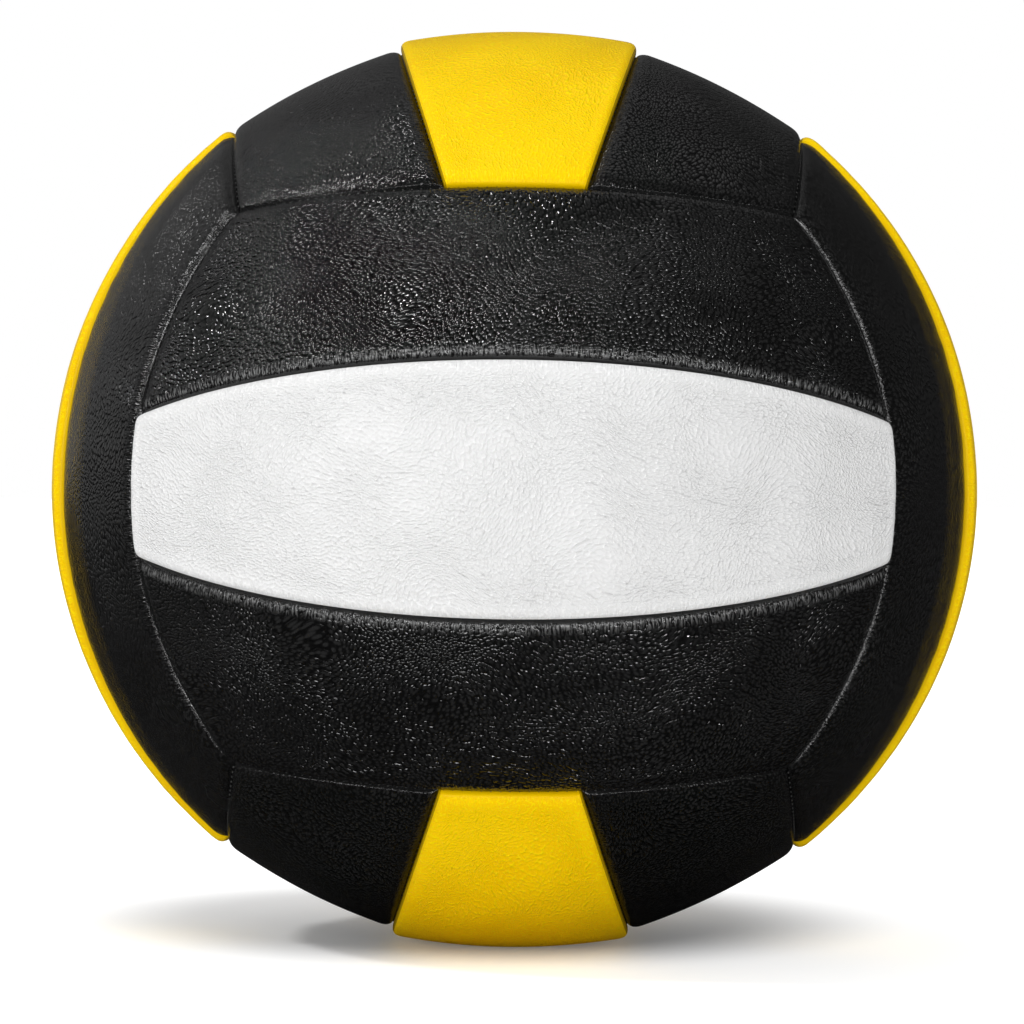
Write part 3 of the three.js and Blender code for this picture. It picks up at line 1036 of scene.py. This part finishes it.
def new_material(name):
    material = bpy.data.materials.new(name)
    material.use_nodes = True
    material.node_tree.nodes.clear()
    return material, Graph(material.node_tree)


def finish_material(graph, shader_inputs, height, bump_depth):
    """The shader of a material, with its grain as a bump of the given depth in millimetres."""
    inputs = {"Height": height, "Distance": bump_depth * MM, "Strength": 1.0}
    bump = graph.node("Bump", inputs)
    shader = graph.node("BsdfPrincipled", {**shader_inputs, "Normal": bump.outputs[0]})
    graph.node("OutputMaterial", {"Surface": shader.outputs[0]})


def pushed(graph, flat, width, reach):
    """The flat places, each pushed aside by up to half the reach, in swells of a given width."""
    inputs = {"Vector": graph.scaled(flat, 1 / width), "Scale": 1.0, "Detail": 1.0}
    swell = graph.node("TexNoise", inputs, noise_dimensions="2D").outputs["Color"]
    return graph.vector("ADD", flat, graph.scaled(graph.vector("SUBTRACT", swell, NOISE_MIDDLE), reach))


def pebbles(graph, flat, size):
    """Height of the pebbled grain: long rounded cells with narrow creases between them."""
    swayed = pushed(graph, flat, GRAIN_SWAY_WIDTH, GRAIN_SWAY)
    turned = graph.node("Mapping", {
        "Vector": pushed(graph, swayed, GRAIN_BEND_WIDTH, GRAIN_BEND),
        "Rotation": (0, 0, math.radians(GRAIN_LEAN_DEGREES)),
        "Scale": (1 / (GRAIN_LENGTH * size), 1 / (GRAIN_WIDTH * size), 1),
    })
    inputs = {
        "Vector": turned.outputs[0],
        "Scale": 1.0,
        "Smoothness": GRAIN_SOFTNESS_SHARE,
        "Randomness": GRAIN_SCATTER_SHARE,
    }
    cells = graph.node("TexVoronoi", inputs, voronoi_dimensions="2D", feature="SMOOTH_F1")
    distance = cells.outputs["Distance"]
    return graph.math("SUBTRACT", 1.0, graph.math("MULTIPLY", distance, distance))


def creases(graph, flat, along, across):
    """Noise drawn out to the given lengths along and across a panel."""
    return graph.noise(graph.vector("MULTIPLY", flat, (1 / along, 1 / across, 1)))


def grain_of(graph, flat, look):
    fine = graph.noise(graph.scaled(flat, 1 / FINE_GRAIN_WIDTH), FINE_GRAIN_DETAIL)
    return Grain(
        pebbles=pebbles(graph, flat, look.grain_share),
        fine=fine,
        side_crease=creases(graph, flat, CREASE_WIDTH, CREASE_LENGTH),
        end_crease=creases(graph, flat, CREASE_LENGTH, CREASE_WIDTH),
    )


def gaps_of(graph):
    side, end, marked = graph.separate(graph.attribute("gaps"))
    open_share = graph.step(graph.math("MINIMUM", side, end), *SMOOTH_EDGE)
    return Gaps(side, end, marked, open_share)


def leather_height(graph, grain, gaps, look):
    """The grain, which gives way to creases at the seams and to a smooth edge right at them."""
    fine = graph.math("MULTIPLY", grain.fine, FINE_GRAIN_SHARE)
    height = graph.math("ADD", grain.pebbles, fine)
    for distance, crease in ((gaps.side, grain.side_crease), (gaps.end, grain.end_crease)):
        share = graph.step(distance, *CREASE_REACH, CREASE_SHARE, 0.0)
        height = graph.blend(share, height, crease)
    left = gaps.open_share
    if look.eased:
        left = graph.math("MULTIPLY", left, graph.step(gaps.marked, *EASED_REACH, EASED_SHARE, 1.0))
    height = graph.math("MULTIPLY", height, left)
    return graph.math("SUBTRACT", 1.0, height) if look.ridged else height


def painted_highlight_share(graph, grain, gaps):
    """How far a highlight is painted pale along the skin's rounded shoulder, in streaks across the
    seam.
    """
    risen = graph.step(gaps.marked, *HIGHLIGHT_FROM)
    fallen = graph.step(gaps.marked, *HIGHLIGHT_TO, 1.0, 0.0)
    streaks = graph.step(grain.side_crease, *HIGHLIGHT_STREAK_SHARES, 0.0, HIGHLIGHT_SHARE)
    return graph.math("MULTIPLY", graph.math("MULTIPLY", risen, fallen), streaks)


def with_edge_shade(graph, colour, distance, edge):
    """The skin's colour with painted shade on its folded edge by a seam, and a fine dark line."""
    folded = graph.mix(graph.step(distance, *EDGE_SHADE_STRIP, 1.0, 0.0), colour, edge)
    off_line = graph.math("ABSOLUTE", graph.math("SUBTRACT", distance, EDGE_LINE))
    line = graph.step(off_line, *EDGE_LINE_WIDTH, EDGE_LINE_SHARE, 0.0)
    return graph.mix(line, folded, EDGE_LINE_COLOUR)


def leather_colour(graph, grain, gaps, patches, look):
    base = graph.mix(graph.step(patches, *PATCH_TONE_SHARES), look.dark, look.light)
    # Lines on the grain: partly its own colour, partly painted shade in creases and painted highlights
    # on ridges
    lines = graph.step(grain.pebbles, *look.line_heights, 1.0, 0.0)
    colour = graph.mix(graph.math("MULTIPLY", lines, gaps.open_share), base, look.line)
    # A painted highlight along the shoulder, in streaks
    if look.rubbed:
        colour = graph.mix(painted_highlight_share(graph, grain, gaps), colour, look.rubbed)
    # Painted shade on the folded edge, with a fine dark line
    if look.edge:
        distance = graph.math("MULTIPLY_ADD", grain.fine, EDGE_RAGGED, gaps.marked)
        colour = with_edge_shade(graph, colour, distance, look.edge)
    return colour


def leather(name, look):
    """Coated leather on a skin panel, drawn from its flat places and its distances to the seams."""
    material, graph = new_material(name)
    flat = graph.attribute("flat")
    grain = grain_of(graph, flat, look)
    gaps = gaps_of(graph)
    patches = graph.noise(graph.scaled(flat, 1 / PATCH_WIDTH), PATCH_DETAIL)
    inputs = {
        "Base Color": leather_colour(graph, grain, gaps, patches, look),
        "Roughness": graph.around(patches, PATCH_GLOSS_SHARES, look.roughness, LEATHER_SPREAD),
        "Specular IOR Level": look.specular,
    }
    finish_material(graph, inputs, leather_height(graph, grain, gaps, look), look.depth)
    return material


def foam_material():
    """Pale latex foam with open cells."""
    material, graph = new_material("foam")
    place = graph.place()
    inputs = {"Vector": place, "Scale": 1 / (FOAM_CELL * MM)}
    cells = graph.node("TexVoronoi", inputs).outputs["Distance"]
    colour = graph.mix(graph.solid_noise(place, 1 / (PATCH_WIDTH * MM)), FOAM_DARK, FOAM_LIGHT)
    finish_material(graph, {"Base Color": colour, "Roughness": FOAM_ROUGHNESS}, cells, FOAM_CELL)
    return material


def rubber_material(name, look):
    """Moulded rubber, slightly mottled, with a fine matt skin."""
    material, graph = new_material(name)
    place = graph.place()
    tone = graph.solid_noise(place, 1 / (RUBBER_MOTTLE * MM), RUBBER_MOTTLE_DETAIL)
    inputs = {
        "Base Color": graph.mix(tone, look.dark, look.light),
        "Roughness": graph.around(tone, RUBBER_GLOSS_SHARES, look.roughness, RUBBER_SPREAD),
    }
    fine = graph.solid_noise(place, 1 / (RUBBER_GRAIN * MM))
    finish_material(graph, inputs, fine, RUBBER_GRAIN_DEPTH)
    return material


def thread_material():
    """Waxed dark thread with its twist."""
    material, graph = new_material("thread")
    tone = graph.solid_noise(graph.place(), 1 / (THREAD_MOTTLE * MM), THREAD_MOTTLE_DETAIL)
    inputs = {
        "Base Color": graph.mix(tone, THREAD_DARK, THREAD_LIGHT),
        "Roughness": THREAD_ROUGHNESS,
    }
    finish_material(graph, inputs, tone, THREAD_RADIUS * THREAD_TWIST_SHARE)
    return material


def all_materials():
    return {
        "black": leather("black_leather", BLACK),
        "side_black": leather("side_black_leather", SIDE_BLACK),
        "yellow": leather("yellow_leather", YELLOW),
        "white": leather("white_leather", WHITE),
        "foam": foam_material(),
        "bladder": rubber_material("bladder_rubber", BLADDER_RUBBER),
        "valve": rubber_material("valve_rubber", VALVE_RUBBER),
        "thread": thread_material(),
    }


def add_camera():
    """A camera in front of the ball, aimed so that the ball's outline falls on its named place."""
    focal = OUTLINE_RADIUS * math.sqrt(CAMERA_RADII ** 2 - 1)
    data = bpy.data.cameras.new("camera")
    data.sensor_width = SENSOR_WIDTH
    data.lens = focal / PICTURE_WIDTH * SENSOR_WIDTH
    data.clip_end = VIEW_REACH
    camera = new_object("camera", data)
    bpy.context.scene.camera = camera
    left = math.atan((OUTLINE_CENTRE[0] - PICTURE_WIDTH / 2) / focal)
    up = math.atan((PICTURE_WIDTH / 2 - OUTLINE_CENTRE[1]) / focal)
    round_ball = rotation(math.radians(CAMERA_AZIMUTH_DEGREES), "Z")
    back = Matrix.Translation((0, -CAMERA_RADII * BALL_RADIUS * MM, 0))
    level = rotation(math.pi / 2, "X")
    aim = rotation(left, "Y") @ rotation(-up, "X")
    roll = rotation(math.radians(CAMERA_ROLL_DEGREES), "Z")
    camera.matrix_world = round_ball @ back @ level @ roll @ aim


def add_sun(name, sun):
    data = bpy.data.lights.new(name, "SUN")
    data.energy = sun.strength * math.pi
    data.angle = math.radians(sun.width)
    turn = rotation(math.radians(sun.azimuth), "Z")
    tilt = rotation(math.pi / 2 - math.radians(sun.elevation), "X")
    lamp = new_object(name, data)
    lamp.matrix_world = turn @ tilt


def floor_material():
    """A matt pale floor, dark in the ball's polish and growing white to the camera."""
    material, graph = new_material("floor")
    place = graph.place()
    rays = graph.node("LightPath").outputs
    colour = graph.mix(graph.solid_noise(place, 1 / FLOOR_MOTTLE), FLOOR_LIGHT, FLOOR_DARK)
    colour = graph.mix(rays["Is Glossy Ray"], colour, FLOOR_MIRRORED)
    shader = graph.node("BsdfDiffuse", {"Color": colour})
    off_shade = graph.vector("SUBTRACT", place, SHADE_CENTRE)
    level = graph.vector("MULTIPLY", off_shade, (1, 1, 0))
    strength = graph.step(graph.length(level), *SHADE_REACH, *FLOOR_GLOW)
    seen = graph.math("MAXIMUM", rays["Is Camera Ray"], rays["Is Transmission Ray"])
    glow = graph.node("Emission", {"Strength": graph.math("MULTIPLY", seen, strength)})
    both = graph.node("AddShader", {0: shader.outputs[0], 1: glow.outputs[0]})
    graph.node("OutputMaterial", {"Surface": both.outputs[0]})
    return material


def add_floor():
    half = FLOOR_WIDTH / 2
    corners = [(-half, -half), (half, -half), (half, half), (-half, half)]
    points = [(x, y, FLOOR_LEVEL * MM) for x, y in corners]
    mesh = bpy.data.meshes.new("floor")
    mesh.from_pydata(points, [], [tuple(range(len(points)))])
    mesh.materials.append(floor_material())
    floor = new_object("floor", mesh)


def add_world():
    """The room as the camera, the ball's matt surfaces and its polish see it."""
    world = bpy.data.worlds.new("studio")
    bpy.context.scene.world = world
    world.use_nodes = True
    world.node_tree.nodes.clear()
    graph = Graph(world.node_tree)
    rays = graph.node("LightPath").outputs
    seen = graph.math("MAXIMUM", rays["Is Camera Ray"], rays["Is Transmission Ray"])
    way = graph.node("TexCoord").outputs["Generated"]
    room = graph.math("ADD", graph.dot(way, ROOM_SLOPE), ROOM_LIGHT)
    towards = graph.math("MAXIMUM", graph.dot(way, PANEL_SIDE), 0.0)
    panel = graph.math("POWER", towards, PANEL_FOCUS)
    mirrored = graph.math("MULTIPLY_ADD", panel, PANEL_LIGHT, ROOM_MIRRORED)
    colour = graph.mix(seen, graph.blend(rays["Is Glossy Ray"], room, mirrored), ROOM_SEEN)
    background = graph.node("Background", {"Color": colour, "Strength": 1.0})
    graph.node("OutputWorld", {"Surface": background.outputs[0]})


bpy.context.scene.view_settings.view_transform = "Standard"
MATERIALS = all_materials()
add_panels(MATERIALS)
add_stitches(MATERIALS["thread"])
add_bladder_and_patches(MATERIALS["bladder"])
add_valve(MATERIALS["valve"])
add_camera()
add_floor()
add_world()
for sun_name, sun in SUNS.items():
    add_sun(sun_name, sun)
